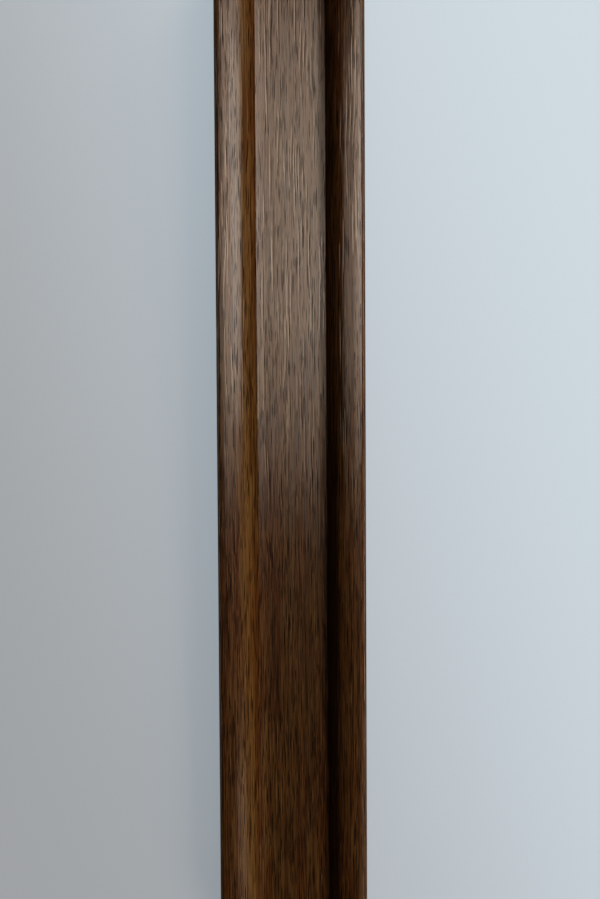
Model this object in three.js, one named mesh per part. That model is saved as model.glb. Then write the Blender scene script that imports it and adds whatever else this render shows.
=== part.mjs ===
// A walnut transition trim strip: a straight moulding with a rounded bead along each long edge and a sunk
// flat between them, cut square at both ends. It lies face up on its back, in millimetres: X across the
// strip, Y along it, Z up from the surface that it lies on, with the origin in the middle of its underside.

import * as THREE from "three";

// Overall size
const WIDTH = 45;
const LENGTH = 300;
const HEIGHT = 12;

// The face. Its slopes are given by the tilt of the surface, in degrees: the angle between its normal and
// straight up, positive where it leans outwards to the nearer long edge.
const DISH_RADIUS = 12.5; // the flat turns up a little before it meets each bead
const DISH_TILT = -12;
const CREASE_RADIUS = 0.5; // the line where the flat meets the bead
const FLANK_TILT = -65; // the steepest part of the bead's inner side
const FLANK_RADIUS = 8.6; // from there up to the crown
const CROWN_TILT = -30;
const CROWN_RADIUS = 11.2; // from there up to the crest
const SHOULDER_RADIUS = 4.4; // from the crest outwards
const SHOULDER_TILT = 14;
const EDGE_RADIUS = 1.9; // the bead's outer edge, down to the upright side
const UPRIGHT = 90;

// The back
const ARRIS_RADIUS = 0.5; // the eased edge under each side
const FACING_DOWN = 180;
const RELIEF_WIDTH = 25; // a shallow channel that lets the strip sit flat on an uneven surface
const RELIEF_DEPTH = 0.8;

// How finely the curves are cut
const STEP_DEGREES = 2.5;
const LEAST_STEPS = 4;

const WALNUT = 0x6b4630;
const WALNUT_ROUGHNESS = 0.45;

const radians = THREE.MathUtils.degToRad;

// How far a curve of this radius carries the surface, outwards and up, while its tilt goes from one angle
// to another. A hollow curve has a negative radius.
function carry(radius, fromTilt, toTilt) {
  const out = Math.sin(radians(toTilt)) - Math.sin(radians(fromTilt));
  const up = Math.cos(radians(toTilt)) - Math.cos(radians(fromTilt));
  return new THREE.Vector2(radius * out, radius * up);
}

// Adds the curve's points after the last one. The tilts run from the flat outwards.
function addCurve(points, radius, fromTilt, toTilt) {
  const start = points[points.length - 1];
  const steps = Math.max(LEAST_STEPS, Math.round(Math.abs(toTilt - fromTilt) / STEP_DEGREES));
  for (let i = 1; i <= steps; i += 1) {
    const tilt = fromTilt + ((toTilt - fromTilt) * i) / steps;
    points.push(carry(radius, fromTilt, tilt).add(start));
  }
}

// The curves of the face in order, from the edge of the flat to the strip's upright side
const FACE_CURVES = [
  [-DISH_RADIUS, 0, DISH_TILT],
  [-CREASE_RADIUS, DISH_TILT, FLANK_TILT],
  [FLANK_RADIUS, FLANK_TILT, CROWN_TILT],
  [CROWN_RADIUS, CROWN_TILT, 0],
  [SHOULDER_RADIUS, 0, SHOULDER_TILT],
  [EDGE_RADIUS, SHOULDER_TILT, UPRIGHT],
];
const CURVES_UP_TO_THE_CREST = 4;

// The right half of the section, from the middle of the face round to the middle of the back
function halfSection() {
  const reach = new THREE.Vector2();
  FACE_CURVES.forEach(([radius, fromTilt, toTilt]) => reach.add(carry(radius, fromTilt, toTilt)));
  const crestHeight = FACE_CURVES.slice(0, CURVES_UP_TO_THE_CREST)
    .map(([radius, fromTilt, toTilt]) => carry(radius, fromTilt, toTilt).y)
    .reduce((sum, rise) => sum + rise, 0);
  const flatHeight = HEIGHT - crestHeight;

  const points = [new THREE.Vector2(WIDTH / 2 - reach.x, flatHeight)];
  FACE_CURVES.forEach(([radius, fromTilt, toTilt]) => addCurve(points, radius, fromTilt, toTilt));
  points.push(new THREE.Vector2(WIDTH / 2, ARRIS_RADIUS));
  addCurve(points, ARRIS_RADIUS, UPRIGHT, FACING_DOWN);
  points.push(new THREE.Vector2(RELIEF_WIDTH / 2 + RELIEF_DEPTH, 0));
  points.push(new THREE.Vector2(RELIEF_WIDTH / 2, RELIEF_DEPTH));
  return points;
}

// The whole section: the right half and its mirror image, in X across and Y up
function stripSection() {
  const right = halfSection();
  const left = right.map((point) => new THREE.Vector2(-point.x, point.y)).reverse();
  return new THREE.Shape([...right, ...left]);
}

// The strip: its section carried straight along Y, centred on the origin
function trimStrip() {
  const geometry = new THREE.ExtrudeGeometry(stripSection(), {
    depth: LENGTH,
    bevelEnabled: false,
    curveSegments: 1,
  });
  const finish = new THREE.MeshStandardMaterial({
    color: WALNUT,
    roughness: WALNUT_ROUGHNESS,
    metalness: 0,
  });
  const strip = new THREE.Mesh(geometry, finish);
  strip.name = "trim_strip";
  strip.rotation.x = Math.PI / 2;
  strip.position.y = LENGTH / 2;
  return strip;
}

const part = new THREE.Group();
part.add(trimStrip());

export default part;
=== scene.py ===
"""The looks of a walnut transition trim strip: a straight lacquered moulding that lies face up on its back.

Sizes are in metres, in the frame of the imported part: X across the strip, Y along it and Z up from the
surface that it lies on. The strip is one piece of wood, so one mesh stands for it. It follows the part's own
section, cut finer, with the fibre ridges and the larger open pores pressed into its face.
"""

from __future__ import annotations

import logging
import math
from dataclasses import dataclass
from enum import Enum
from typing import Any, Union

import bpy
import numpy as np
from mathutils import Matrix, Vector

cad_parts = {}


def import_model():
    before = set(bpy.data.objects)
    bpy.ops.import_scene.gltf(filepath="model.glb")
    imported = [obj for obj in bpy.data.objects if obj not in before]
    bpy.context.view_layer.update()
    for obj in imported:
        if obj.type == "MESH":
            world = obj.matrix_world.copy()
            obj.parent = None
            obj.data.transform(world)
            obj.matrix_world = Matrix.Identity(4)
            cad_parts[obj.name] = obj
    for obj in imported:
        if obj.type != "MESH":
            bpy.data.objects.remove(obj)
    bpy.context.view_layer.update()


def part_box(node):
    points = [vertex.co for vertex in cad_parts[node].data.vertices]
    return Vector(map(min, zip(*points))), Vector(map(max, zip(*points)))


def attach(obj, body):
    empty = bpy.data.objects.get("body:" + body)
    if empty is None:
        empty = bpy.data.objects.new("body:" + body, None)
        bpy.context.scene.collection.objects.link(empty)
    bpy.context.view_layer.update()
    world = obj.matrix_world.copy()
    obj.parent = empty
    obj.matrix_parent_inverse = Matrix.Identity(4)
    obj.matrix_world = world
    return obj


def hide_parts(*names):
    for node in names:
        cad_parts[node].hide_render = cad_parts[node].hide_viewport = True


MM = 0.001
NODE = "trim_strip"
PIECE = "trim_strip_finished"
BODY = "root"
BAKE_MAP = "OFBake"
PORE_DEPTH = "pore_depth"
PORE_GLINT = "painted_pore_glint"
QUIRK = "quirk"
ARRIS = "arris"
LEAST_STEPS = 6  # in a round stretch of the section, so that it stays round
TOUCH = 1e-9  # how near two places count as the same

Colour = tuple[float, float, float]
Cell = tuple[float, float, float]
Pair = tuple[float, float]
Socket = bpy.types.NodeSocket
Value = Union[float, Colour, Socket]

log = logging.getLogger("trim_strip")


class Zone(Enum):
    """Where on the strip a face lies. The value is its material slot."""

    LACQUERED = 0
    SAWN = 1
    PLANED = 2


class Angle:
    """Tilts that the section's round stretches start or end at, in degrees."""

    LEVEL = 0.0
    UPRIGHT = 90.0
    DOWN = 180.0


@dataclass(frozen=True)
class Curve:
    """A round stretch of the section, as the tilts of the surface that it runs between, in degrees.

    A tilt is the angle between the outward normal and straight up, positive towards the nearer long edge. A
    hollow stretch has a negative radius.
    """

    radius: float
    from_tilt: float
    to_tilt: float

    def carried(self, tilt: np.ndarray) -> np.ndarray:
        """The way from the stretch's start to each tilt: radius times the change of (sine, cosine).

        Args:
            tilt: the tilts in degrees, of any shape.

        Returns:
            The same shape with a last axis of 2: outwards and up.
        """
        at, start = np.radians(tilt), math.radians(self.from_tilt)
        out = np.sin(at) - math.sin(start)
        up = np.cos(at) - math.cos(start)
        return self.radius * np.stack([out, up], axis=-1)

    def reach(self) -> np.ndarray:
        """The way from the stretch's start to its end."""
        return self.carried(np.array(self.to_tilt))

    def steps(self, pitch: float) -> int:
        """How many steps of about this pitch the stretch takes."""
        turn = math.radians(abs(self.to_tilt - self.from_tilt))
        return max(LEAST_STEPS, round(abs(self.radius) * turn / pitch))

    def points(self, start: np.ndarray, pitch: float) -> np.ndarray:
        """The stretch's points after its start, evenly spaced in tilt."""
        share = np.arange(1, self.steps(pitch) + 1) / self.steps(pitch)
        return start + self.carried(self.from_tilt + (self.to_tilt - self.from_tilt) * share)


def straight(start: np.ndarray, end: np.ndarray, pitch: float) -> np.ndarray:
    """The points of a straight line after its start, evenly spaced.

    Args:
        start: the line's start.
        end: the line's end.
        pitch: about how far apart the points are.

    Returns:
        The points, of which the last is the end.
    """
    steps = max(1, round(float(np.linalg.norm(end - start)) / pitch))
    share = (np.arange(1, steps + 1) / steps)[:, None]
    return start + (end - start) * share


def run(steps: np.ndarray) -> np.ndarray:
    """How far from the start each joint of a row of steps lies, the start itself first."""
    return np.concatenate([[0.0], np.cumsum(steps)])


@dataclass(frozen=True)
class Section:
    """The strip's section: a bead along each long edge, a sunk flat between them and a relieved back.

    The quirk is the narrow dark hollow between the flat and the bead's steep inner side.
    """

    width: float
    height: float
    dish: Curve = Curve(-12.5 * MM, Angle.LEVEL, -12)
    crease: Curve = Curve(-0.5 * MM, -12, -65)
    flank: Curve = Curve(8.6 * MM, -65, -30)
    crown: Curve = Curve(11.2 * MM, -30, Angle.LEVEL)
    shoulder: Curve = Curve(4.4 * MM, Angle.LEVEL, 14)
    edge: Curve = Curve(1.9 * MM, 14, Angle.UPRIGHT)
    arris: Curve = Curve(0.5 * MM, Angle.UPRIGHT, Angle.DOWN)
    relief_width: float = 25 * MM
    relief_depth: float = 0.8 * MM
    quirk_reach: float = 5.4 * MM  # how far out from the crease it fades away
    quirk_rim: float = 0.1 * MM  # how far in from the crease it starts
    face_pitch: float = 0.125 * MM
    side_pitch: float = 1.6 * MM
    back_pitch: float = 3.0 * MM

    def climb(self) -> tuple[Curve, ...]:
        """The round stretches from the flat up to the bead's crest."""
        return (self.dish, self.crease, self.flank, self.crown)

    def face_curves(self) -> tuple[Curve, ...]:
        """The round stretches of the face, from the flat outwards."""
        return (*self.climb(), self.shoulder, self.edge)

    def start_of(self, number: int) -> float:
        """How far out from the middle the face's round stretch of this number starts."""
        return self.width / 2 - sum(curve.reach()[0] for curve in self.face_curves()[number:])

    def flat_height(self) -> float:
        """How high the flat lies: the strip's height less the rise up to the crest."""
        return self.height - sum(curve.reach()[1] for curve in self.climb())

    def half(self) -> np.ndarray:
        """The right half, from the middle of the flat over the bead and round to the middle of the back.

        Returns:
            Points of (across, up), each stretch starting where the one before it ends.
        """
        middle = np.array([0.0, self.flat_height()])
        flat_edge = np.array([self.start_of(0), self.flat_height()])
        stretches = [middle[None], straight(middle, flat_edge, self.face_pitch)]
        for curve in self.face_curves():
            stretches.append(curve.points(stretches[-1][-1], self.face_pitch))
        foot = np.array([self.width / 2, self.arris.radius])
        stretches.append(straight(stretches[-1][-1], foot, self.side_pitch))
        stretches.append(self.arris.points(foot, self.face_pitch))
        half_relief = self.relief_width / 2
        step = np.array([half_relief, self.relief_depth])
        for end in (step + [self.relief_depth, -self.relief_depth], step, step - [half_relief, 0.0]):
            stretches.append(straight(stretches[-1][-1], end, self.back_pitch))
        return np.concatenate(stretches)

    def quirk(self, points: np.ndarray) -> np.ndarray:
        """How deep in the quirk each point lies.

        Args:
            points: points of (across, up).

        Returns:
            1 at the crease, falling evenly to 0 at the quirk's reach up the bead's inner side.
        """
        out = np.abs(points[:, 0]) - self.start_of(1)
        inside = (out > -self.quirk_rim) & (points[:, 1] > self.flat_height() - TOUCH)
        return np.where(inside, (1 - out / self.quirk_reach).clip(0, 1), 0.0)

    def loop(self) -> np.ndarray:
        """The whole section.

        Returns:
            A closed loop of points from the middle of the back to the right, over the face and round.
        """
        right = self.half()[::-1]
        left = (self.half() * [-1, 1])[1:-1]
        return np.concatenate([right, left])


@dataclass(frozen=True)
class Grooves:
    """One kind of open pore that is pressed into the face, as ranges that each pore's size is drawn from."""

    per_mm2: float
    half_width: Pair
    half_length: Pair
    depth: Pair
    roundness: float  # 1 for straight sides, 2 for a round bottom


LONG_PORES = Grooves(
    per_mm2=0.022,
    half_width=(0.2 * MM, 0.28 * MM),
    half_length=(4.5 * MM, 11 * MM),
    depth=(0.05 * MM, 0.085 * MM),
    roundness=1,
)
SHORT_PORES = Grooves(
    per_mm2=0.06,
    half_width=(0.15 * MM, 0.22 * MM),
    half_length=(2.2 * MM, 4.4 * MM),
    depth=(0.012 * MM, 0.024 * MM),
    roundness=2,
)


@dataclass(frozen=True)
class PressedGrain:
    """The relief of the wood's face: long soft fibre ridges and the larger open pores, pressed inwards."""

    ridge_cell: Pair = (15 * MM, 0.38 * MM)  # along and across
    ridge_depth: float = 0.014 * MM
    meander: float = 0.5 * MM  # how far the pores' lines wander to each side
    meander_cell: Pair = (14 * MM, 6 * MM)
    long_pores: Grooves = LONG_PORES
    short_pores: Grooves = SHORT_PORES
    edge_fade: float = 1.0 * MM  # how far in from the face's two edges the relief sets in fully
    glint_from: Pair = (-25 * MM, 15 * MM)  # where along the strip the painted highlight along the long pores sets in
    quirk_fade: float = 10.0  # how quickly the painted highlight ends towards the quirk
    window: tuple[int, int] = (8, 7)  # rows and columns each way that a pore can touch
    seed: int = 11

    @staticmethod
    def _weights(place: np.ndarray, spacing: float) -> np.ndarray:
        """Blending weights between lattice lines: 3t^2 - 2t^3 of one minus the distance in spacings.

        Args:
            place: places on one axis.
            spacing: how far apart the lines are.

        Returns:
            A row for each place, with a column for each line.
        """
        at = (place - place.min()) / spacing
        lines = np.arange(int(at.max()) + 2)
        t = (1 - np.abs(at[:, None] - lines)).clip(0)
        return t * t * (3 - 2 * t)

    def _soft(
        self, along: np.ndarray, across: np.ndarray, cell: Pair, rng: np.random.Generator
    ) -> np.ndarray:
        """Smoothed random numbers from 0 to 1 at each row and column, on a lattice of this cell size."""
        down, over = self._weights(along, cell[0]), self._weights(across, cell[1])
        return down @ rng.uniform(0, 1, (down.shape[1], over.shape[1])) @ over.T

    def glint_share(self, along: np.ndarray) -> np.ndarray:
        """How strong the painted highlight along the long pores is: 0 at the near end, rising to 1 over its
        range.
        """
        low, high = self.glint_from
        return ((along - low) / (high - low)).clip(0, 1)

    def ridges(self, along: np.ndarray, across: np.ndarray, rng: np.random.Generator) -> np.ndarray:
        """Soft ridges that are far longer along the strip than across it."""
        return self.ridge_depth * self._soft(along, across, self.ridge_cell, rng)

    def pores(
        self, kind: Grooves, along: np.ndarray, across: np.ndarray, rng: np.random.Generator
    ) -> np.ndarray:
        """Open pores as slim grooves.

        Across, a groove is its depth times one minus the distance in half widths to the power of its
        roundness. Along, that fades by the root of one minus the squared distance in half lengths.

        A pore follows the meander: each column is shifted by how far the meander there differs from the
        meander at the pore's middle.

        Args:
            kind: the kind of pore.
            along: the rows' places along the strip, evenly spaced.
            across: the columns' places across the unrolled face, rising.
            rng: where the pores' places and sizes are drawn from.

        Returns:
            The depth at each row and column, 0 between the pores.
        """
        count = int(kind.per_mm2 * np.ptp(along) * np.ptp(across) / MM**2)
        wander = self.meander * (2 * self._soft(along, across, self.meander_cell, rng) - 1)
        y = rng.uniform(along[0], along[-1], count)[:, None, None]
        x = rng.uniform(across[0], across[-1], count)[:, None, None]
        ranges = (kind.half_width, kind.half_length, kind.depth)
        half_width, half_length, depth = (rng.uniform(*drawn, count)[:, None, None] for drawn in ranges)

        row_reach, column_reach = self.window
        last_row, last_column = len(along) - 1, len(across) - 1
        middle_row, middle_column = np.searchsorted(along, y), np.searchsorted(across, x)
        rows = middle_row + np.arange(-row_reach, row_reach + 1)[None, :, None]
        columns = middle_column + np.arange(-column_reach, column_reach + 1)[None, None]
        rows, middle_row = rows.clip(0, last_row), middle_row.clip(0, last_row)
        columns, middle_column = columns.clip(0, last_column), middle_column.clip(0, last_column)

        shift = wander[rows, columns] - wander[middle_row, middle_column]
        away = ((along[rows] - y) / half_length) ** 2
        aside = np.abs((across[columns] + shift - x) / half_width) ** kind.roundness
        groove = depth * (1 - away).clip(0) ** 0.5 * (1 - aside).clip(0)
        found = np.zeros((len(along), len(across)))
        np.maximum.at(found, (rows, columns), groove)
        return found


class Nodes:
    """Adds nodes to one node tree and joins their sockets."""

    def __init__(self, tree: bpy.types.NodeTree) -> None:
        """Starts from an empty tree."""
        self.tree = tree
        tree.nodes.clear()

    def put(self, socket: Socket, value: Value) -> None:
        """Sets a socket to a constant, or joins it to another socket.

        Args:
            socket: the socket to fill.
            value: a number, a colour, a vector or the other socket.
        """
        if isinstance(value, Socket):
            self.tree.links.new(value, socket)
        elif isinstance(value, tuple) and socket.type == "RGBA":
            socket.default_value = (*value, 1.0)
        else:
            socket.default_value = value

    def add(self, kind: str, inputs: dict[Any, Value] | None = None, **settings: Any) -> bpy.types.Node:
        """Adds a node.

        Args:
            kind: the node's type without its ShaderNode prefix.
            inputs: what goes into its sockets, by name or number.
            settings: the node's own properties.

        Returns:
            The new node.
        """
        node = self.tree.nodes.new("ShaderNode" + kind)
        for name, setting in settings.items():
            setattr(node, name, setting)
        for key, value in (inputs or {}).items():
            self.put(node.inputs[key], value)
        return node

    def math(self, operation: str, a: Value, b: Value = 0.0, c: Value = 0.0, clamp: bool = False) -> Socket:
        """A Math node's result."""
        return self.add("Math", {0: a, 1: b, 2: c}, operation=operation, use_clamp=clamp).outputs[0]

    def vector(self, operation: str, a: Value, b: Value) -> Socket:
        """A Vector Math node's result."""
        return self.add("VectorMath", {0: a, 1: b}, operation=operation).outputs[0]

    def ease(self, value: Value, low: Value, high: Value, to_low: float = 0, to_high: float = 1) -> Socket:
        """value taken smoothly from the range low to high onto to_low to to_high."""
        inputs = {"Value": value, "From Min": low, "From Max": high, "To Min": to_low, "To Max": to_high}
        return self.add("MapRange", inputs, interpolation_type="SMOOTHSTEP").outputs["Result"]

    def blend(self, share: Value, a: Value, b: Value) -> Socket:
        """Two colours mixed: the first where share is 0, the second where it is 1."""
        node = self.add("Mix", {"Factor": share, 6: a, 7: b}, data_type="RGBA", blend_type="MIX")
        return node.outputs[2]

    def stretched(self, place: Socket, cell: Cell) -> Socket:
        """place measured in cells of this size, in metres, across, along and up."""
        scale = tuple(1 / size for size in cell)
        return self.add("Mapping", {"Vector": place, "Scale": scale}).outputs[0]

    def noise(self, place: Socket, cell: Cell, detail: float, rough: float = 0.5) -> bpy.types.Node:
        """Soft noise with a first octave of this cell size."""
        inputs = {"Vector": self.stretched(place, cell), "Scale": 1.0, "Detail": detail, "Roughness": rough}
        return self.add("TexNoise", inputs)

    def wandered(self, place: Socket, cell: Cell, reach: float) -> Socket:
        """A place shifted by a slow noise: by its colour less a half, times the reach, on each axis.

        Args:
            place: the place before the shift.
            cell: the noise's cell size.
            reach: the size of the shift.

        Returns:
            The shifted place.
        """
        drift = self.noise(place, cell, detail=1.0).outputs["Color"]
        centred = self.vector("SUBTRACT", drift, (0.5, 0.5, 0.5))
        return self.vector("ADD", place, self.vector("MULTIPLY", centred, (reach, reach, reach)))

    def distance(self, place: Socket, middle: Pair) -> Socket:
        """The distance from a line that runs along the strip.

        Args:
            place: the place that is measured.
            middle: the line's own place, across and up.

        Returns:
            The length of the way between them in the plane of the section.
        """
        away = self.vector("SUBTRACT", place, (middle[0], 0.0, middle[1]))
        flat = self.vector("MULTIPLY", away, (1.0, 0.0, 1.0))
        return self.add("VectorMath", {0: flat}, operation="LENGTH").outputs["Value"]

    def wave(self, turns: Value) -> Socket:
        """A wave from 0 to 1: a half plus half the sine of the turns times tau."""
        sine = self.math("SINE", self.math("MULTIPLY", turns, math.tau))
        return self.math("MULTIPLY_ADD", sine, 0.5, 0.5)

    def stored(self, name: str) -> Socket:
        """The numbers that the mesh keeps under this name."""
        return self.add("Attribute", attribute_name=name).outputs["Fac"]


class Group:
    """A shader node group with named inputs and outputs, built once and placed in several materials."""

    def __init__(self, name: str, inputs: dict[str, str], outputs: dict[str, str]) -> None:
        """Makes the group's tree and its sockets.

        Args:
            name: the group's name.
            inputs: each input's kind, Float or Color.
            outputs: each output's kind.
        """
        self.tree = bpy.data.node_groups.new(name, "ShaderNodeTree")
        self.nodes = Nodes(self.tree)
        for way, sockets in (("INPUT", inputs), ("OUTPUT", outputs)):
            for label, kind in sockets.items():
                self.tree.interface.new_socket(label, in_out=way, socket_type="NodeSocket" + kind)
        self.given = self.tree.nodes.new("NodeGroupInput").outputs
        self.result = self.tree.nodes.new("NodeGroupOutput").inputs
        self.place = self.nodes.add("TexCoord").outputs["Object"]

    def give(self, label: str, value: Value) -> None:
        """Joins one of the group's outputs."""
        self.nodes.put(self.result[label], value)

    def placed_in(self, nodes: Nodes, inputs: dict[str, Value]) -> bpy.types.Node:
        """Places the group in a material.

        Args:
            nodes: the material's nodes.
            inputs: the values of all the group's inputs in this material.

        Returns:
            The group node.
        """
        node = nodes.tree.nodes.new("ShaderNodeGroup")
        node.node_tree = self.tree
        for label, value in inputs.items():
            nodes.put(node.inputs[label], value)
        return node


@dataclass(frozen=True)
class Streak:
    """A broad streak of paler or darker tone, as the photograph shows it: most are the wood's own, and some
    are painted light and shade.

    Across, it fades from its core, a share of its half width, out to its sides. Along, it starts to fade a
    share of its half length before each end, and is gone as far past it.
    """

    across: float
    half_width: float
    low: float
    high: float
    tone: float  # above 0 paler, below 0 darker
    core: float = 0.2
    end_fade: float = 0.2

    def add_to(self, nodes: Nodes, tone: Value, across: Value, along: Value) -> Socket:
        """Adds the streak's tone, which is strongest in its middle.

        Args:
            nodes: where the nodes go.
            tone: the tone so far.
            across: the place across the strip.
            along: the place along it.

        Returns:
            The tone with the streak in it.
        """
        half_length = (self.high - self.low) / 2
        outer, inner = half_length * (1 + self.end_fade), half_length * (1 - self.end_fade)
        aside = nodes.math("ABSOLUTE", nodes.math("SUBTRACT", across, self.across))
        away = nodes.math("ABSOLUTE", nodes.math("SUBTRACT", along, (self.low + self.high) / 2))
        beside = nodes.ease(aside, self.half_width, self.half_width * self.core)
        within = nodes.ease(away, outer, inner)
        return nodes.math("MULTIPLY_ADD", nodes.math("MULTIPLY", beside, within), self.tone, tone)


@dataclass(frozen=True)
class GrowthRings:
    """How the strip was cut from its board: where the tree's middle lies, its rings and its streaks, some of
    which are painted light and shade on the beads' inner sides.
    """

    heart: Pair = (62 * MM, -88 * MM)
    ring_width: float = 2.7 * MM
    wander: float = 1.2 * MM
    wander_cell: Cell = (30 * MM, 110 * MM, 30 * MM)
    late_wood_power: float = 3.5
    year_share: float = 0.5  # how far the rings differ from each other
    band_cell: Cell = (1.3 * MM, 110 * MM, 1.3 * MM)
    fibre_cell: Cell = (0.3 * MM, 16 * MM, 0.3 * MM)
    hue_cell: Cell = (5 * MM, 120 * MM, 5 * MM)
    hue_change: Pair = (0.4, 0.6)
    streaks: tuple[Streak, ...] = (
        # painted light: paler all along the left bead's inner side, which faces the lights
        Streak(-14.2 * MM, 3.6 * MM, -170 * MM, 170 * MM, 0.3),
        Streak(-9.4 * MM, 1.8 * MM, -170 * MM, -84 * MM, 0.2),
        Streak(-13.3 * MM, 0.8 * MM, 70 * MM, 112 * MM, -0.22),
        Streak(-12.6 * MM, 0.7 * MM, -8 * MM, 34 * MM, -0.3),
        Streak(-5.6 * MM, 3.0 * MM, -84 * MM, -52 * MM, -0.2),
        Streak(-7.5 * MM, 3.4 * MM, -22 * MM, 16 * MM, -0.12),
        Streak(15.8 * MM, 2.4 * MM, 2 * MM, 22 * MM, -0.2),
        # painted shade: these two darken the right bead's inner side, which faces away from the lights, all
        # along and more in its near half
        Streak(12.0 * MM, 3.2 * MM, -170 * MM, 170 * MM, -0.3),
        Streak(12.6 * MM, 2.8 * MM, -170 * MM, 0.0, -0.5),
        Streak(8.0 * MM, 5.0 * MM, -170 * MM, -118 * MM, 0.16),
        Streak(1.8 * MM, 1.6 * MM, -130 * MM, -90 * MM, -0.12),
    )

    def group(self) -> Group:
        """The wood's colour: growth rings, streaks and fine fibres, solid through the piece. Three of the
        streaks, on the beads' inner sides, are painted light and shade.

        The grain wanders a little. The distance from the heart in ring widths gives the rings, and each
        ring's late wood is its fraction to a power. Bands, fibres and the change between the two brown hues
        are noises that are far longer along the strip than across it. All these add up to a tone, which goes
        from dark at 0 through the brown hue at a half to light at 1.

        Returns:
            A group that puts out Colour, Fibre and Band.
        """
        inputs = dict.fromkeys(("Dark", "Olive", "Red", "Light"), "Color")
        inputs |= dict.fromkeys(("Rings", "Bands", "Fibres", "Streaks"), "Float")
        group = Group("walnut_grain", inputs, {"Colour": "Color", "Fibre": "Float", "Band": "Float"})
        n, given = group.nodes, group.given
        place = n.wandered(group.place, self.wander_cell, self.wander)
        rings = n.math("DIVIDE", n.distance(place, self.heart), self.ring_width)
        late = n.math("POWER", n.math("FRACT", rings), self.late_wood_power)
        year = n.add("TexWhiteNoise", {"W": n.math("FLOOR", rings)}, noise_dimensions="1D").outputs["Value"]
        ring = n.math("SUBTRACT", n.math("MULTIPLY", year, self.year_share), late)

        band = n.noise(place, self.band_cell, detail=2.0, rough=0.6).outputs[0]
        fibre = n.noise(place, self.fibre_cell, detail=1.0, rough=0.6).outputs[0]
        hue = n.noise(place, self.hue_cell, detail=2.0, rough=0.6).outputs[0]
        tone = n.math("MULTIPLY_ADD", n.math("SUBTRACT", band, 0.5), given["Bands"], 0.5)
        tone = n.math("MULTIPLY_ADD", n.math("SUBTRACT", fibre, 0.5), given["Fibres"], tone)
        tone = n.math("MULTIPLY_ADD", ring, given["Rings"], tone)
        axes = n.add("SeparateXYZ", {0: place}).outputs
        broad: Value = 0.0
        for streak in self.streaks:
            broad = streak.add_to(n, broad, axes[0], axes[1])
        tone = n.math("MULTIPLY_ADD", broad, given["Streaks"], tone)

        middle = n.blend(n.ease(hue, *self.hue_change), given["Olive"], given["Red"])
        lower = n.blend(n.math("MULTIPLY", tone, 2.0, clamp=True), given["Dark"], middle)
        upper = n.math("MULTIPLY_ADD", tone, 2.0, -1.0, clamp=True)
        group.give("Colour", n.blend(upper, lower, given["Light"]))
        group.give("Fibre", fibre)
        group.give("Band", band)
        return group


@dataclass(frozen=True)
class PoreSize:
    """One size of open pore, as the cells that hold one each and the radius of a pore in cells."""

    cell: Cell
    radius: float
    share: float  # of the cells that hold a pore
    strength: float


@dataclass(frozen=True)
class OpenPores:
    """Walnut's open pores: slim tubes along the grain, which are dashes on the face and dots on the ends."""

    sizes: tuple[PoreSize, ...] = (
        PoreSize((0.66 * MM, 12 * MM, 0.66 * MM), 0.28, 0.75, 1.0),
        PoreSize((0.48 * MM, 8 * MM, 0.48 * MM), 0.31, 0.8, 0.9),
        PoreSize((0.36 * MM, 5 * MM, 0.36 * MM), 0.34, 0.8, 0.55),
    )
    waver: float = 0.25 * MM
    waver_cell: Cell = (8 * MM, 34 * MM, 8 * MM)
    crowd_cell: Cell = (3.4 * MM, 55 * MM, 3.4 * MM)
    crowd_change: Pair = (0.35, 0.65)
    crowding: Pair = (0.65, 1.2)  # the share of pores where they are sparse and where they crowd
    least_width: float = 0.6
    width_spread: float = 0.8
    core: float = 0.7  # how much of a pore's radius is fully dark

    def group(self) -> Group:
        """Three sizes of pores, each in stretched cells that hold one point.

        A pore is a smooth step on the distance to the nearest point. A cell's own random numbers leave out
        some pores and vary the rest in width.

        Returns:
            A group that puts out Pores, from 0 on bare wood to 1 in a pore.
        """
        group = Group("walnut_pores", {}, {"Pores": "Float"})
        n = group.nodes
        place = n.wandered(group.place, self.waver_cell, self.waver)
        crowd = n.noise(group.place, self.crowd_cell, detail=1.0).outputs[0]
        amount = n.ease(crowd, *self.crowd_change, *self.crowding)
        found: Value = 0.0
        for size in self.sizes:
            inputs = {"Vector": n.stretched(place, size.cell), "Scale": 1.0}
            cells = n.add("TexVoronoi", inputs, feature="F1", voronoi_dimensions="3D")
            draws = n.add("SeparateColor", {0: cells.outputs["Color"]}).outputs
            width = n.math("MULTIPLY_ADD", draws[0], self.width_spread, self.least_width)
            reach = n.math("MULTIPLY", width, size.radius)
            mask = n.ease(cells.outputs["Distance"], reach, n.math("MULTIPLY", reach, self.core))
            kept = n.math("LESS_THAN", draws[1], n.math("MULTIPLY", amount, size.share))
            mask = n.math("MULTIPLY", n.math("MULTIPLY", mask, kept), size.strength)
            found = n.math("MAXIMUM", mask, found)
        group.give("Pores", found)
        return group


@dataclass(frozen=True)
class Tones:
    """The wood's colours under one finish, as linear light."""

    dark: Colour
    olive: Colour
    red: Colour
    light: Colour
    pore: Colour

    def inputs(self) -> dict[str, Value]:
        """The colours by the names of the grain group's inputs."""
        return {"Dark": self.dark, "Olive": self.olive, "Red": self.red, "Light": self.light}


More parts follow.
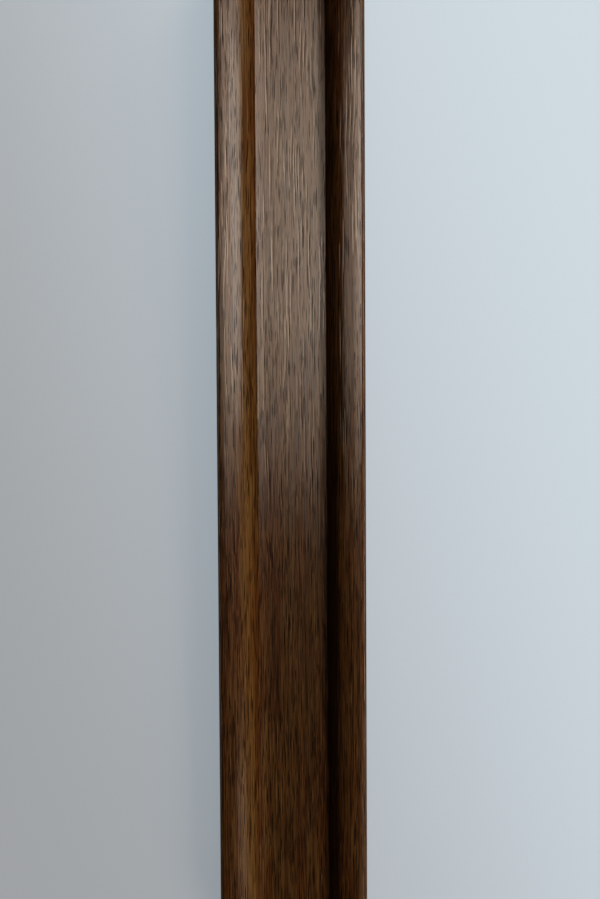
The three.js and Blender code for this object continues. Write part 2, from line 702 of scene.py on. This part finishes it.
@dataclass(frozen=True)
class Finish:
    """What every finish of the strip shares: the grain and pore groups and the shader's own values."""

    name: str
    tones: Tones
    roughness: float
    ior: float
    bump: float
    rings: float
    bands: float
    fibres: float
    streaks: float
    pore_darkness: float

    def start(
        self, grain: Group, pores: Group
    ) -> tuple[bpy.types.Material, Nodes, bpy.types.Node, bpy.types.Node]:
        """Makes the material with its grain and pores placed.

        Args:
            grain: the grain group.
            pores: the pores group.

        Returns:
            The material, its nodes, the grain node and the pores node.
        """
        material = bpy.data.materials.new(self.name)
        material.use_nodes = True
        nodes = Nodes(material.node_tree)
        contrast = {"Rings": self.rings, "Bands": self.bands, "Fibres": self.fibres, "Streaks": self.streaks}
        grain_node = grain.placed_in(nodes, self.tones.inputs() | contrast)
        return material, nodes, grain_node, pores.placed_in(nodes, {})

    def pored(self, nodes: Nodes, grain_node: bpy.types.Node, mask: Socket) -> Socket:
        """The grain's colour, darkened where the mask is high."""
        share = nodes.math("MULTIPLY", mask, self.pore_darkness)
        return nodes.blend(share, grain_node.outputs["Colour"], self.tones.pore)

    def close(self, nodes: Nodes, colour: Value, roughness: Value, height: Value) -> bpy.types.Node:
        """Adds the shader and the bump.

        Args:
            nodes: the material's nodes.
            colour: the base colour.
            roughness: the roughness.
            height: the relief, in shares of the finish's bump depth.

        Returns:
            The Principled BSDF.
        """
        bump = nodes.add("Bump", {"Strength": 1.0, "Distance": self.bump, "Height": height})
        inputs = {"Base Color": colour, "Roughness": roughness, "Normal": bump.outputs[0], "IOR": self.ior}
        shader = nodes.add("BsdfPrincipled", inputs)
        nodes.add("OutputMaterial", {"Surface": shader.outputs[0]})
        return shader


@dataclass(frozen=True)
class LacqueredWalnut(Finish):
    """The face and sides: stained walnut under a clear satin lacquer that doesn't bridge the open pores."""

    lacquer_roughness: float = 0.2
    lacquer_ior: float = 1.85
    lacquer: float = 0.78  # how strong the coat is, before the five changes that follow
    lacquer_on_fibres: float = 0.55
    lacquer_on_glint: float = 0.3
    lacquer_in_pores: float = -0.5
    lacquer_in_quirk: float = -0.75
    lacquer_where_worn: float = -0.4
    wood_shine: float = 0.03  # the wood's own under the coat, 0.5 being what its ior gives
    pressed_darkness: float = 0.6  # how dark a short pressed pore is, beside a fine one
    worn_bands: Pair = (0.42, 0.62)  # the bands of the wood where a worn arris shows
    worn_paleness: float = 0.35
    glint_colour: Colour = (0.2, 0.17, 0.13)  # the colour of the painted highlight along a long pore
    glint_strength: float = 0.36  # how far that painted highlight hides the wood
    fibre_roughness: float = 0.15
    fibre_height: float = 0.3

    def build(self, grain: Group, pores: Group) -> bpy.types.Material:
        """The wood's colour, darkened in the pores and with a painted highlight along the lit sides of the
        long pores, under a coat of lacquer that the pores break.

        Args:
            grain: the grain group.
            pores: the pores group.

        Returns:
            The material.
        """
        material, nodes, grain_node, pore_node = self.start(grain, pores)
        fine, fibre = pore_node.outputs["Pores"], grain_node.outputs["Fibre"]
        pressed, rubbed, pale, quirk = (nodes.stored(name) for name in (PORE_DEPTH, ARRIS, PORE_GLINT, QUIRK))
        dark = nodes.math("MAXIMUM", fine, nodes.math("MULTIPLY", pressed, self.pressed_darkness))
        colour = self.pored(nodes, grain_node, dark)
        band = nodes.ease(grain_node.outputs["Band"], *self.worn_bands)
        worn = nodes.math("MULTIPLY", rubbed, band, clamp=True)
        colour = nodes.blend(nodes.math("MULTIPLY", worn, self.worn_paleness), colour, self.tones.light)
        # painted highlight: pales the lit sides of the long pores
        colour = nodes.blend(nodes.math("MULTIPLY", pale, self.glint_strength), colour, self.glint_colour)
        roughness = nodes.math("MULTIPLY_ADD", fibre, self.fibre_roughness, self.roughness)
        height = nodes.math("MULTIPLY_ADD", fibre, self.fibre_height, nodes.math("SUBTRACT", 1.0, fine))
        shader = self.close(nodes, colour, roughness, height)

        raised = nodes.math("SUBTRACT", fibre, 0.5)
        lacquer = nodes.math("MULTIPLY_ADD", raised, self.lacquer_on_fibres, self.lacquer)
        lacquer = nodes.math("MULTIPLY_ADD", pale, self.lacquer_on_glint, lacquer, clamp=True)
        lacquer = nodes.math("MULTIPLY_ADD", fine, self.lacquer_in_pores, lacquer)
        lacquer = nodes.math("MULTIPLY_ADD", quirk, self.lacquer_in_quirk, lacquer)
        lacquer = nodes.math("MULTIPLY_ADD", worn, self.lacquer_where_worn, lacquer, clamp=True)
        nodes.put(shader.inputs["Coat Weight"], lacquer)
        nodes.put(shader.inputs["Coat Roughness"], self.lacquer_roughness)
        nodes.put(shader.inputs["Coat IOR"], self.lacquer_ior)
        nodes.put(shader.inputs["Specular IOR Level"], self.wood_shine)
        return material


@dataclass(frozen=True)
class SawnEndGrain(Finish):
    """The two cut ends: bare end grain with its growth rings and pores, and a fine saw's curved marks."""

    saw_centre: Pair = (-40 * MM, 120 * MM)
    mark_pitch: float = 0.45 * MM
    waver: float = 2.2  # how far the marks stray, in pitches
    waver_cell: Cell = (5 * MM, 5 * MM, 5 * MM)
    mark_paleness: float = 0.16
    mark_roughness: float = 0.08
    mark_height: float = 0.35

    def build(self, grain: Group, pores: Group) -> bpy.types.Material:
        """End grain with saw marks: waves of the distance from the blade's middle, made to stray by a noise.

        Args:
            grain: the grain group.
            pores: the pores group.

        Returns:
            The material.
        """
        material, nodes, grain_node, pore_node = self.start(grain, pores)
        place = nodes.add("TexCoord").outputs["Object"]
        pitches = nodes.math("DIVIDE", nodes.distance(place, self.saw_centre), self.mark_pitch)
        stray = nodes.noise(place, self.waver_cell, detail=2.0).outputs[0]
        marks = nodes.wave(nodes.math("MULTIPLY_ADD", stray, self.waver, pitches))
        fine = pore_node.outputs["Pores"]
        share = nodes.math("MULTIPLY", marks, self.mark_paleness)
        colour = nodes.blend(share, self.pored(nodes, grain_node, fine), self.tones.light)
        roughness = nodes.math("MULTIPLY_ADD", marks, self.mark_roughness, self.roughness)
        height = nodes.math("MULTIPLY_ADD", marks, self.mark_height, nodes.math("SUBTRACT", 1.0, fine))
        self.close(nodes, colour, roughness, height)
        return material


@dataclass(frozen=True)
class PlanedBack(Finish):
    """The back: bare planed wood with the planer's faint ripple across the grain."""

    knife_pitch: float = 1.6 * MM
    patch_cell: Cell = (24 * MM, 50 * MM, 24 * MM)
    patch_change: Pair = (0.35, 0.65)
    least_ripple: float = 0.25
    ripple_paleness: float = 0.1
    ripple_height: float = 0.5
    fibre_roughness: float = 0.12

    def build(self, grain: Group, pores: Group) -> bpy.types.Material:
        """Bare wood with knife marks: shallow waves along the strip, stronger in some places than in others.

        Args:
            grain: the grain group.
            pores: the pores group.

        Returns:
            The material.
        """
        material, nodes, grain_node, pore_node = self.start(grain, pores)
        place = nodes.add("TexCoord").outputs["Object"]
        along = nodes.add("SeparateXYZ", {0: place}).outputs[1]
        patch = nodes.noise(place, self.patch_cell, detail=2.0).outputs[0]
        strength = nodes.ease(patch, *self.patch_change, self.least_ripple, 1.0)
        ripple = nodes.math("MULTIPLY", nodes.wave(nodes.math("DIVIDE", along, self.knife_pitch)), strength)
        fine = pore_node.outputs["Pores"]
        share = nodes.math("MULTIPLY", ripple, self.ripple_paleness)
        colour = nodes.blend(share, self.pored(nodes, grain_node, fine), self.tones.light)
        fibre = grain_node.outputs["Fibre"]
        roughness = nodes.math("MULTIPLY_ADD", fibre, self.fibre_roughness, self.roughness)
        height = nodes.math("MULTIPLY_ADD", ripple, self.ripple_height, nodes.math("SUBTRACT", 1.0, fine))
        self.close(nodes, colour, roughness, height)
        return material


FACE_FINISH = LacqueredWalnut(
    name="lacquered_walnut",
    tones=Tones(
        dark=(0.009, 0.0036, 0.0008),
        olive=(0.05, 0.0215, 0.0048),
        red=(0.05, 0.0162, 0.003),
        light=(0.099, 0.0545, 0.0165),
        pore=(0.006, 0.0022, 0.0005),
    ),
    roughness=0.45,
    ior=1.45,
    bump=0.04 * MM,
    rings=0.1,
    bands=0.75,
    fibres=1.7,
    streaks=1.0,
    pore_darkness=0.92,
)
END_FINISH = SawnEndGrain(
    name="sawn_end_grain",
    tones=Tones(
        dark=(0.04, 0.021, 0.01),
        olive=(0.09, 0.052, 0.026),
        red=(0.095, 0.048, 0.025),
        light=(0.16, 0.095, 0.053),
        pore=(0.02, 0.011, 0.006),
    ),
    roughness=0.72,
    ior=1.5,
    bump=0.04 * MM,
    rings=0.7,
    bands=0.5,
    fibres=0.35,
    streaks=0.3,
    pore_darkness=0.8,
)
BACK_FINISH = PlanedBack(
    name="planed_walnut",
    tones=Tones(
        dark=(0.065, 0.036, 0.019),
        olive=(0.125, 0.077, 0.042),
        red=(0.13, 0.071, 0.041),
        light=(0.2, 0.125, 0.077),
        pore=(0.035, 0.018, 0.01),
    ),
    roughness=0.6,
    ior=1.5,
    bump=0.04 * MM,
    rings=0.3,
    bands=0.8,
    fibres=0.5,
    streaks=0.6,
    pore_darkness=0.7,
)


@dataclass(frozen=True)
class BakeLayout:
    """Where the skin and the two ends lie on the map for baked patterns, as shares of its side."""

    rim: float = 0.01
    skin_right: float = 0.9
    end_left: float = 0.92
    end_right: float = 0.985
    end_tall: float = 0.47


@dataclass
class TrimStrip:
    """The strip itself: its section carried along Y, with eased ends and square cut ends."""

    section: Section
    length: float
    grain: PressedGrain = PressedGrain()
    layout: BakeLayout = BakeLayout()
    row_pitch: float = 1.45 * MM
    end_arris: float = 0.3 * MM
    end_steps: int = 3
    worn_reach: float = 1.4 * MM
    sharp_angle: float = 28.0  # in degrees: faces that meet at more aren't shaded as one

    def rows(self) -> tuple[np.ndarray, np.ndarray]:
        """The places along Y where the section stands, and how far it is drawn in at each.

        The eased end is a quarter circle: along is radius times one minus sine, and drawn in is radius times
        one minus cosine, of the angle from the side round to the cut.

        Returns:
            The places and the insets, from the near end to the far one.
        """
        turn = np.radians(np.linspace(Angle.UPRIGHT, Angle.LEVEL, self.end_steps + 1))
        start = -self.length / 2 + self.end_arris * (1 - np.sin(turn))
        inset = self.end_arris * (1 - np.cos(turn))
        count = round((self.length - 2 * self.end_arris) / self.row_pitch)
        body = np.linspace(start[-1], -start[-1], count + 1)[1:-1]
        along = np.concatenate([start, body, -start[::-1]])
        return along, np.concatenate([inset, np.zeros(len(body)), inset[::-1]])

    @staticmethod
    def outward(loop: np.ndarray) -> np.ndarray:
        """Each section point's outward normal: the line between its neighbours, turned a quarter.

        Args:
            loop: the section.

        Returns:
            The normals, of length 1.
        """
        line = np.roll(loop, -1, axis=0) - np.roll(loop, 1, axis=0)
        normal = np.stack([line[:, 1], -line[:, 0]], axis=1)
        return normal / np.linalg.norm(normal, axis=1, keepdims=True)

    def relief(self, along: np.ndarray, loop: np.ndarray, face: np.ndarray) -> tuple[np.ndarray, ...]:
        """How far each point of the face is pressed in, where its painted highlight lies and where its short
        pores.

        Args:
            along: the rows' places.
            loop: the section.
            face: the numbers of the section's points that lie on the moulded face, from right to left.

        Returns:
            At each row and section point: the depth, the painted highlight along a long pore's lit left side,
            and a short pore's share of the greatest depth.
        """
        rng = np.random.default_rng(self.grain.seed)
        across = run(np.linalg.norm(np.diff(loop[face], axis=0), axis=1))
        ridges = self.grain.ridges(along, across, rng)
        long_pores = self.grain.pores(self.grain.long_pores, along, across, rng)
        short_pores = self.grain.pores(self.grain.short_pores, along, across, rng)
        fade = (np.minimum(across, across[-1] - across) / self.grain.edge_fade).clip(0, 1)
        depth, pale, groove = np.zeros((3, len(along), len(loop)))
        depth[:, face] = (ridges + np.maximum(long_pores, short_pores)) * fade
        # painted highlight: marks the left side of each long pore, the side that faces the lights, from the
        # near end onwards and not in the quirk
        lit = (np.gradient(long_pores, axis=1) < 0) & (long_pores > 0)
        open_face = fade * (1 - self.section.quirk(loop[face])) ** self.grain.quirk_fade
        pale[:, face] = lit * open_face * self.grain.glint_share(along)[:, None]
        groove[:, face] = short_pores * fade / self.grain.short_pores.depth[1]
        return depth, pale, groove

    @staticmethod
    def skin(rows: int, columns: int) -> np.ndarray:
        """The four-sided faces between neighbouring rows and section points, with the loop closed.

        Args:
            rows: how many rows there are.
            columns: how many points the section has.

        Returns:
            Four point numbers for each face.
        """
        number = np.arange(rows * columns).reshape(rows, columns)
        after = np.roll(number, -1, axis=1)
        return np.stack([number[:-1], number[1:], after[1:], after[:-1]], axis=-1).reshape(-1, 4)

    @staticmethod
    def cap(loop: np.ndarray, back: np.ndarray, over: np.ndarray) -> np.ndarray:
        """The triangles of a cut end, laced between the back and the rest of the section.

        Both chains run from left to right. Each step takes the next point, of either chain, that lies
        furthest left, and joins it to the last two.

        Args:
            loop: the section.
            back: the numbers of the back's points, from left to right.
            over: the numbers of the points up the left side, over the face and down the right side.

        Returns:
            Triangles of section point numbers that face towards -Y.
        """
        reached = np.maximum.accumulate(loop[over, 0])
        order = np.argsort(np.concatenate([reached[1:], loop[back[1:], 0]]), kind="stable")
        upper = order < len(over) - 1
        top, bottom = np.cumsum(upper), np.cumsum(~upper)
        last_top, last_bottom = top - upper, bottom - ~upper
        new = np.where(upper, over[top], back[bottom])
        return np.stack([over[last_top], back[last_bottom], new], axis=1)

    def on_back(self, loop: np.ndarray) -> np.ndarray:
        """Which points of the section lie on its back, the relief's among them."""
        within = np.abs(loop[:, 0]) <= self.section.width / 2 - self.section.arris.radius + TOUCH
        return within & (loop[:, 1] <= self.section.relief_depth + TOUCH)

    def nearness(self, along: np.ndarray) -> np.ndarray:
        """1 at the cut ends, falling to 0 at the reach of their wear."""
        from_end = self.length / 2 - np.abs(along)
        return (1 - from_end / self.worn_reach).clip(0, 1)

    def build(self) -> bpy.types.Object:
        """Makes the strip's mesh.

        A point is its section point, moved inwards along the section's normal by the row's inset and by the
        relief, and carried to the row's place.

        Returns:
            The finished piece, in the scene, with its maps and attributes.
        """
        loop = self.section.loop()
        along, inset = self.rows()
        on_back = self.on_back(loop)
        over, back = np.flatnonzero(~on_back), np.flatnonzero(on_back)
        back = np.concatenate([back[back > over[-1]], back[back < over[0]]])
        face = over[loop[over, 1] >= self.section.flat_height() - TOUCH]
        depth, pale, groove = self.relief(along, loop, face)

        section = loop[None] - self.outward(loop)[None] * (depth + inset[:, None])[..., None]
        places = np.broadcast_to(along[:, None], depth.shape)
        points = np.stack([section[..., 0], places, section[..., 1]], axis=-1).reshape(-1, 3)
        skin = self.skin(len(along), len(loop))
        near = self.cap(loop, back, over[::-1])
        far = near[:, ::-1] + (len(along) - 1) * len(loop)
        mesh = bpy.data.meshes.new(PIECE)
        mesh.from_pydata(points.tolist(), [], skin.tolist() + near.tolist() + far.tolist())

        zones = np.where(on_back & np.roll(on_back, -1), Zone.PLANED.value, Zone.LACQUERED.value)
        cuts = np.full(len(near) + len(far), Zone.SAWN.value)
        zones = np.concatenate([np.tile(zones, len(along) - 1), cuts])
        mesh.polygons.foreach_set("material_index", zones.astype(np.int32))
        mesh.polygons.foreach_set("use_smooth", np.ones(len(mesh.polygons), dtype=bool))
        mesh.set_sharp_from_angle(angle=math.radians(self.sharp_angle))
        quirk, ends = self.section.quirk(loop), self.nearness(along)[:, None]
        for name, values in {PORE_DEPTH: groove, PORE_GLINT: pale, QUIRK: quirk, ARRIS: ends}.items():
            self.store(mesh, name, np.broadcast_to(values, depth.shape))
        self.lay_out(mesh, (along, inset), loop, near)
        mesh.validate()
        mesh.update()
        piece = bpy.data.objects.new(PIECE, mesh)
        bpy.context.scene.collection.objects.link(piece)
        return piece

    @staticmethod
    def store(mesh: bpy.types.Mesh, name: str, values: np.ndarray) -> None:
        """Keeps a number for each point of the mesh."""
        layer = mesh.attributes.new(name, "FLOAT", "POINT")
        layer.data.foreach_set("value", values.astype(np.float32).ravel())

    def lay_out(
        self, mesh: bpy.types.Mesh, rows: tuple[np.ndarray, np.ndarray], loop: np.ndarray, near: np.ndarray
    ) -> None:
        """Lays out the map that patterns are baked through: the skin unrolled, with the two ends beside it.

        Across the map runs the way round the section, and up it the way along the strip. Each end lies on its
        side in the margin that is left on the right.

        Args:
            mesh: the finished mesh.
            rows: the rows' places and insets.
            loop: the section.
            near: the triangles of one end.
        """
        plan = self.layout
        around = run(np.linalg.norm(np.roll(loop, -1, axis=0) - loop, axis=1))
        around = plan.rim + (plan.skin_right - plan.rim) * around / around[-1]
        upwards = run(np.hypot(*np.diff(rows, axis=1)))
        upwards = plan.rim + (1 - 2 * plan.rim) * upwards / upwards[-1]
        left, right = around[:-1], around[1:]
        low, high = upwards[:-1, None], upwards[1:, None]
        shape = (len(upwards) - 1, len(left))
        corners_u = np.stack([np.broadcast_to(u, shape) for u in (left, left, right, right)], axis=-1)
        corners_v = np.stack([np.broadcast_to(v, shape) for v in (low, high, high, low)], axis=-1)
        skin = np.stack([corners_u, corners_v], axis=-1).reshape(-1, 2)

        up = plan.end_left + (plan.end_right - plan.end_left) * loop[:, 1] / self.section.height
        over = plan.end_tall * (loop[:, 0] / self.section.width + 0.5)
        near_end = np.stack([up, plan.rim + over], axis=1)[near]
        far_end = np.stack([up, 1 - plan.rim - plan.end_tall + over], axis=1)[near[:, ::-1]]
        places = np.concatenate([skin, near_end.reshape(-1, 2), far_end.reshape(-1, 2)])
        layer = mesh.uv_layers.new(name=BAKE_MAP)
        layer.uv.foreach_set("vector", places.astype(np.float32).ravel())


def dress(piece: bpy.types.Object, finishes: tuple[Finish, ...]) -> None:
    """Gives the piece its finishes.

    Args:
        piece: the finished piece.
        finishes: one for each zone, in the zones' order.
    """
    grain = GrowthRings().group()
    pores = OpenPores().group()
    for finish in finishes:
        piece.data.materials.append(finish.build(grain, pores))


@dataclass(frozen=True)
class PhotoCamera:
    """The camera that looks down on the strip as the photograph does, set from the strip's edges in it."""

    lens: float = 44.05  # in millimetres, on a sensor whose long side is 36
    sensor: float = 36.0
    place: tuple[float, float, float] = (22.0 * MM, 13.7 * MM, 341.2 * MM)
    tilt: float = -2.3
    turn: float = 3.34
    roll: float = -0.311
    clip: Pair = (0.01, 20.0)

    def build(self) -> bpy.types.Object:
        """Makes the camera and makes it the scene's own.

        Returns:
            The camera.
        """
        data = bpy.data.cameras.new("photo_camera")
        data.lens = self.lens
        data.sensor_width = self.sensor
        data.clip_start, data.clip_end = self.clip
        camera = bpy.data.objects.new("photo_camera", data)
        turns = ((self.turn, "Y"), (self.tilt, "X"), (self.roll, "Z"))
        sideways, up, round_axis = (Matrix.Rotation(math.radians(angle), 4, axis) for angle, axis in turns)
        camera.matrix_world = Matrix.Translation(self.place) @ sideways @ up @ round_axis
        bpy.context.scene.collection.objects.link(camera)
        bpy.context.scene.camera = camera
        return camera


@dataclass(frozen=True)
class SoftBox:
    """A rectangular studio light that faces the strip's middle, named for where it stands.

    It stands at sideways degrees from straight up towards +X, and at lengthways degrees from there to +Y. Its
    size is first the way that sideways goes, and then the way that lengthways does.
    """

    name: str
    sideways: float
    lengthways: float
    size: Pair
    radiance: float
    colour: Colour = (1.0, 0.8, 0.63)
    distance: float = 2.0

    def build(self) -> bpy.types.Object:
        """Makes the light. Its power is pi times its radiance times its area.

        Returns:
            The light, which the camera doesn't see.
        """
        data = bpy.data.lights.new(self.name, "AREA")
        data.shape = "RECTANGLE"
        data.size, data.size_y = self.size
        data.energy = math.pi * self.radiance * self.size[0] * self.size[1]
        data.color = self.colour
        light = bpy.data.objects.new(self.name, data)
        across, along = math.radians(self.sideways), math.radians(self.lengthways)
        facing = Matrix.Rotation(across, 4, "Y") @ Matrix.Rotation(-along, 4, "X")
        light.matrix_world = facing @ Matrix.Translation((0.0, 0.0, self.distance))
        light.visible_camera = False
        bpy.context.scene.collection.objects.link(light)
        return light


@dataclass(frozen=True)
class Studio:
    """A plain pale floor that glows softly for the camera, warm soft lights and a dim even surround."""

    floor_reach: float = 3.0
    floor_gap: float = 0.05 * MM
    floor_colour: Colour = (0.17, 0.19, 0.21)
    floor_roughness: float = 0.9
    floor_shine: float = 0.2
    glow_low: Colour = (0.21, 0.235, 0.26)
    glow_high: Colour = (0.46, 0.55, 0.62)
    glow_reach: Pair = (0.14, 0.42)  # how far off, across and along, the glow changes fully
    backdrop: Colour = (0.5, 0.54, 0.58)
    surround: float = 0.008
    lights: tuple[SoftBox, ...] = (
        SoftBox("window_edge", -25.0, 10.2, (1.1, 0.7), 1.1),
        SoftBox("window_near", 7.0, 14.7, (1.04, 0.73), 2.6, colour=(1.0, 0.8, 0.64)),
        SoftBox("window_sill", 4.5, 0.8, (0.8, 0.3), 1.75),
        SoftBox("window_pane", 8.0, 9.0, (3.1, 0.28), 0.2, colour=(1.0, 0.96, 0.92)),
        SoftBox("window_right", 35.0, 12.0, (1.1, 0.75), 3.1, colour=(1.0, 0.9, 0.8)),
        SoftBox("room_bounce", 40.0, -25.0, (1.1, 0.28), 0.5),
        SoftBox("far_corner", 60.0, 50.0, (0.98, 0.98), 14.0),
        SoftBox("near_corner", 60.0, -50.0, (0.98, 0.98), 6.0),
        SoftBox("low_left", -88.0, 0.0, (0.14, 1.5), 1.5),
        SoftBox("low_right", 88.0, 0.0, (0.14, 1.5), 5.0, colour=(1.0, 0.92, 0.85)),
        SoftBox("low_near", 0.0, -85.0, (1.5, 0.3), 3.0),
        SoftBox("low_far", 0.0, 85.0, (1.5, 0.3), 3.0),
        SoftBox("from_below", 180.0, 0.0, (1.6, 1.6), 2.4),
    )

    def floor(self) -> bpy.types.Object:
        """Makes the floor.

        Returns:
            One square just under the strip.
        """
        corners = np.array([[-1, -1], [1, -1], [1, 1], [-1, 1]]) * self.floor_reach
        points = np.concatenate([corners, np.full((4, 1), -self.floor_gap)], axis=1)
        mesh = bpy.data.meshes.new("floor")
        mesh.from_pydata(points.tolist(), [], [(0, 1, 2, 3)])
        mesh.update()
        floor = bpy.data.objects.new("floor", mesh)
        bpy.context.scene.collection.objects.link(floor)
        mesh.materials.append(self.paint())
        return floor

    def paint(self) -> bpy.types.Material:
        """Plain matt paint with a soft glow that only the camera sees.

        It is see-through from below and casts no shadow, so that the light from below reaches the strip's
        back.

        Returns:
            The floor's material.
        """
        material = bpy.data.materials.new("floor_paint")
        material.use_nodes = True
        nodes = Nodes(material.node_tree)
        place = nodes.add("TexCoord").outputs["Object"]
        axes = nodes.add("SeparateXYZ", {0: place}).outputs
        across, along = (nodes.math("DIVIDE", axes[i], self.glow_reach[i]) for i in range(2))
        share = nodes.ease(nodes.math("ADD", across, along), -1.0, 1.0)
        glow = nodes.blend(share, self.glow_low, self.glow_high)
        path = nodes.add("LightPath").outputs
        inputs = {"Base Color": self.floor_colour, "Roughness": self.floor_roughness}
        inputs |= {"Specular IOR Level": self.floor_shine}
        inputs |= {"Emission Color": glow, "Emission Strength": path["Is Camera Ray"]}
        paint = nodes.add("BsdfPrincipled", inputs)
        clear = nodes.add("BsdfTransparent")
        under = nodes.add("NewGeometry").outputs["Backfacing"]
        open_way = nodes.math("MAXIMUM", under, path["Is Shadow Ray"])
        either = nodes.add("MixShader", {0: open_way, 1: paint.outputs[0], 2: clear.outputs[0]})
        nodes.add("OutputMaterial", {"Surface": either.outputs[0]})
        return material

    def world(self) -> None:
        """Makes a pale backdrop for the camera that lights the strip only dimly."""
        world = bpy.data.worlds.new("surround")
        world.use_nodes = True
        bpy.context.scene.world = world
        nodes = Nodes(world.node_tree)
        seen = nodes.add("LightPath").outputs["Is Camera Ray"]
        strength = nodes.math("MULTIPLY_ADD", seen, 1.0 - self.surround, self.surround)
        background = nodes.add("Background", {"Color": self.backdrop, "Strength": strength})
        nodes.add("OutputWorld", {"Surface": background.outputs[0]})

    def build(self) -> None:
        """Makes the floor, the lights and the surround, and shows colours as they are."""
        self.floor()
        for light in self.lights:
            light.build()
        self.world()
        bpy.context.scene.view_settings.view_transform = "Standard"


def main() -> None:
    """Loads the frame, then makes the camera, the strip and the studio."""
    logging.basicConfig(level=logging.INFO, format="%(name)s: %(message)s")
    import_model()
    PhotoCamera().build()

    low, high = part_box(NODE)
    strip = TrimStrip(Section(width=high.x - low.x, height=high.z - low.z), length=high.y - low.y)
    piece = strip.build()
    dress(piece, (FACE_FINISH, END_FINISH, BACK_FINISH))
    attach(piece, BODY)
    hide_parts(NODE)
    triangles = sum(len(face.vertices) - 2 for face in piece.data.polygons)
    log.info("%s: %d points, %d triangles", piece.name, len(piece.data.vertices), triangles)

    Studio().build()


if __name__ == "__main__":
    main()
